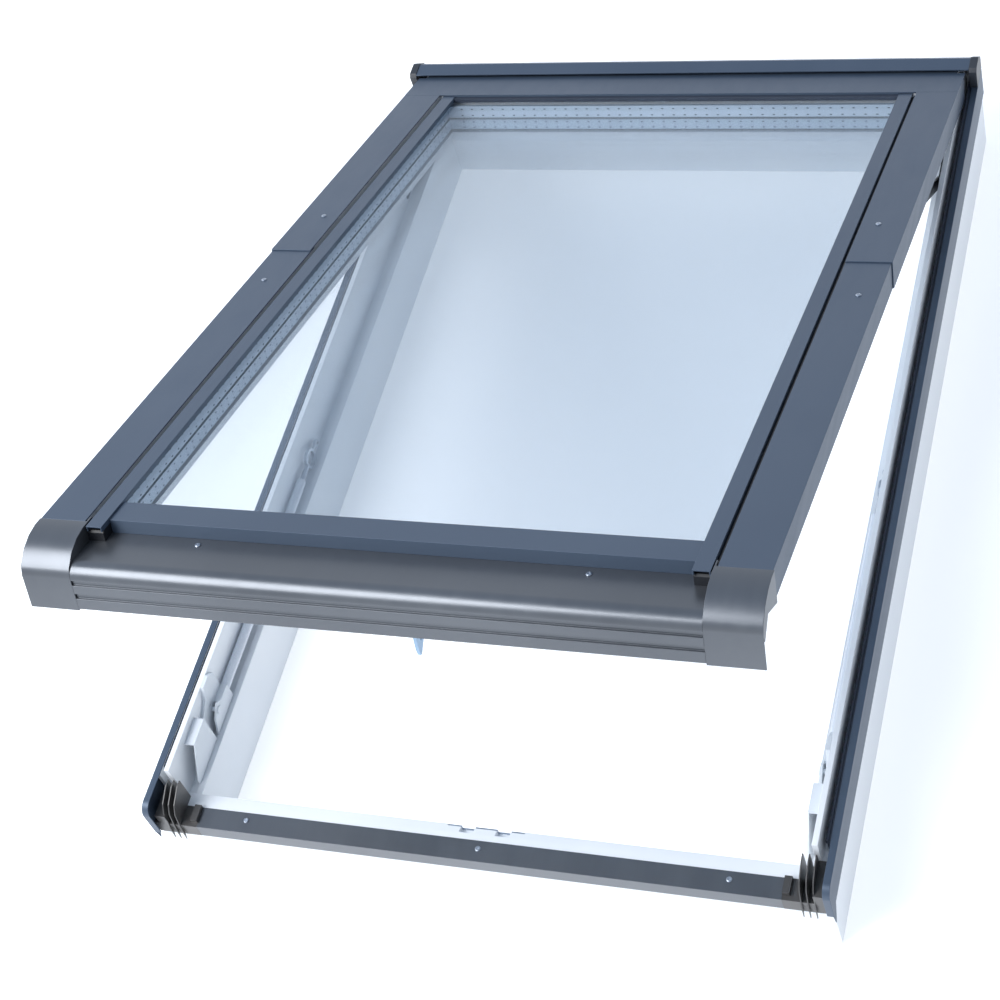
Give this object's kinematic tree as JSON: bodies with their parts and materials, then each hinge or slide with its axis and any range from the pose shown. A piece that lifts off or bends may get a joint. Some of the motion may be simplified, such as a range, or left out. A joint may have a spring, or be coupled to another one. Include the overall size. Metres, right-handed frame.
{
  "type": "roof skylight",
  "caption": "Top-hung roof window standing open: a white plastic frame, a triple-glazed sash with painted metal covers, stays, springs and a handle.",
  "frame": {"origin": "centre of the frame's outline on its back face, the face that lies on the roof battens", "axes": "X across the window, +Y up the roof slope to the hinged side, +Z out of the roof, the weather side"},
  "size_m": [0.786, 1.1895, 0.542],
  "materials": {
    "white_pvc": "satin white PVC",
    "white_plastic": "satin white plastic",
    "rubber": "matt dark rubber",
    "cover_paint": "satin blue-grey paint",
    "grey_paint": "satin grey paint",
    "corner_plastic": "matt brown-grey plastic",
    "black_plastic": "satin black plastic",
    "steel": "zinc-plated steel",
    "dark_steel": "satin dark paint",
    "tube_paint": "gloss white paint",
    "glass": "clear, faint blue",
    "spacer": "matt grey aluminium",
    "shoe_plastic": "satin light plastic",
    "handle_paint": "satin light blue-grey paint"
  },
  "bodies": {
    "frame": {"outer_frame": "white_pvc", "frame_gasket": "rubber", "cladding_left": "cover_paint", "cladding_right": "cover_paint", "sill_cladding": "grey_paint", "sill_screws": "steel", "corner_left": "corner_plastic", "corner_right": "corner_plastic", "top_hood": "cover_paint", "hood_cap_left": "black_plastic", "hood_cap_right": "black_plastic", "hinge_bracket_left": "steel", "hinge_bracket_right": "steel", "stay_bracket_left": "dark_steel", "stay_bracket_right": "dark_steel", "spring_tube_left": "tube_paint", "spring_tube_right": "tube_paint", "tube_bracket_left": "white_plastic", "tube_bracket_right": "white_plastic", "channel_plate_left": "white_plastic", "channel_plate_right": "white_plastic", "lock_keeper": "steel"},
    "sash": {"sash_frame": "white_pvc", "glass_outer": "glass", "glass_middle": "glass", "glass_inner": "glass", "spacer_outer": "spacer", "spacer_inner": "spacer", "bead_left": "cover_paint", "bead_right": "cover_paint", "bead_top": "rubber", "bead_bottom": "cover_paint", "sash_seal": "rubber", "cover_top": "cover_paint", "cover_upper_left": "cover_paint", "cover_upper_right": "cover_paint", "cover_lower_left": "cover_paint", "cover_lower_right": "cover_paint", "bottom_rail": "grey_paint", "rail_cap_left": "grey_paint", "rail_cap_right": "grey_paint", "cover_screws": "steel", "rail_screws": "steel", "hinge_arm_left": "steel", "hinge_arm_right": "steel", "stay_rail_left": "dark_steel", "stay_rail_right": "dark_steel", "lock_case": "white_pvc"},
    "stay_left": {"stay_arm_left": "dark_steel"},
    "shoe_left": {"stay_shoe_left": "shoe_plastic"},
    "rod_left": {"spring_rod_left": "steel"},
    "stay_right": {"stay_arm_right": "dark_steel"},
    "shoe_right": {"stay_shoe_right": "shoe_plastic"},
    "rod_right": {"spring_rod_right": "steel"},
    "handle": {"handle_lever": "handle_paint"},
    "bolts": {"lock_bolts": "steel"}
  },
  "joints": [
    {"name": "sash_hinge", "type": "hinge", "parent": "frame", "child": "sash", "pos_m": [0, 0.5437, 0.12], "axis": [-1, 0, 0], "range_deg": [-20.25, 19.75]},
    {"name": "stay_pivot_left", "type": "hinge", "parent": "frame", "child": "stay_left", "pos_m": [-0.361, 0.4077, 0.108], "axis": [-1, 0, 0], "range_deg": [-40.5, 39.5]},
    {"name": "shoe_pivot_left", "type": "hinge", "parent": "stay_left", "child": "shoe_left", "pos_m": [-0.361, 0.29649, 0.1872], "axis": [-1, 0, 0], "range_deg": [-19.75, 20.25]},
    {"name": "spring_slide_left", "type": "slide", "parent": "frame", "child": "rod_left", "axis": [0, 1, 0], "range_m": [-0.0156, 0.016]},
    {"name": "stay_pivot_right", "type": "hinge", "parent": "frame", "child": "stay_right", "pos_m": [0.361, 0.4077, 0.108], "axis": [-1, 0, 0], "range_deg": [-40.5, 39.5]},
    {"name": "shoe_pivot_right", "type": "hinge", "parent": "stay_right", "child": "shoe_right", "pos_m": [0.361, 0.29649, 0.1872], "axis": [-1, 0, 0], "range_deg": [-19.75, 20.25]},
    {"name": "spring_slide_right", "type": "slide", "parent": "frame", "child": "rod_right", "axis": [0, 1, 0], "range_m": [-0.0156, 0.016]},
    {"name": "handle_turn", "type": "hinge", "parent": "sash", "child": "handle", "pos_m": [0, -0.4808, 0.45809], "axis": [1, 0, 0], "range_deg": [0, 32]},
    {"name": "bolt_slide", "type": "slide", "parent": "sash", "child": "bolts", "axis": [0, -0.9382, 0.3461], "range_m": [0, 0.007]}
  ],
  "couplings": [
    {"joint": "stay_pivot_left", "follows": "sash_hinge", "ratio": 2},
    {"joint": "shoe_pivot_left", "follows": "sash_hinge", "ratio": -1},
    {"joint": "spring_slide_left", "follows": "sash_hinge", "m_per_rad": -0.045},
    {"joint": "stay_pivot_right", "follows": "sash_hinge", "ratio": 2},
    {"joint": "shoe_pivot_right", "follows": "sash_hinge", "ratio": -1},
    {"joint": "spring_slide_right", "follows": "sash_hinge", "m_per_rad": -0.045},
    {"joint": "bolt_slide", "follows": "handle_turn", "m_per_rad": 0.0125}
  ]
}
